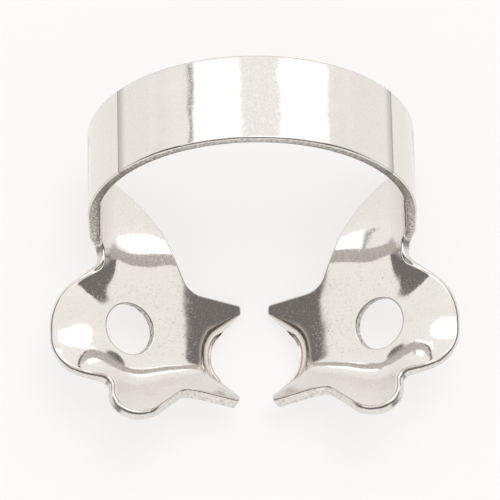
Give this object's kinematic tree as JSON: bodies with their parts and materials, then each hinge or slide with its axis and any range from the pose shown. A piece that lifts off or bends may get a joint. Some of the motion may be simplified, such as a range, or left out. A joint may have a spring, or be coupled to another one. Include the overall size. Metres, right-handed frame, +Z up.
{
  "type": "rubber dam clamp",
  "caption": "Winged rubber dam clamp of sheet steel: pronged jaws with forceps holes, dished plates and a half-round spring bow.",
  "frame": {"origin": "on the ground under the middle of the clamp", "axes": "+X across the jaws from side to side, +Y towards the bow, +Z up from the surface it rests on"},
  "size_m": [0.0266, 0.023, 0.0167],
  "materials": {
    "polished_steel": "polished"
  },
  "bodies": {
    "root": {"clamp": "polished_steel"}
  },
  "joints": []
}
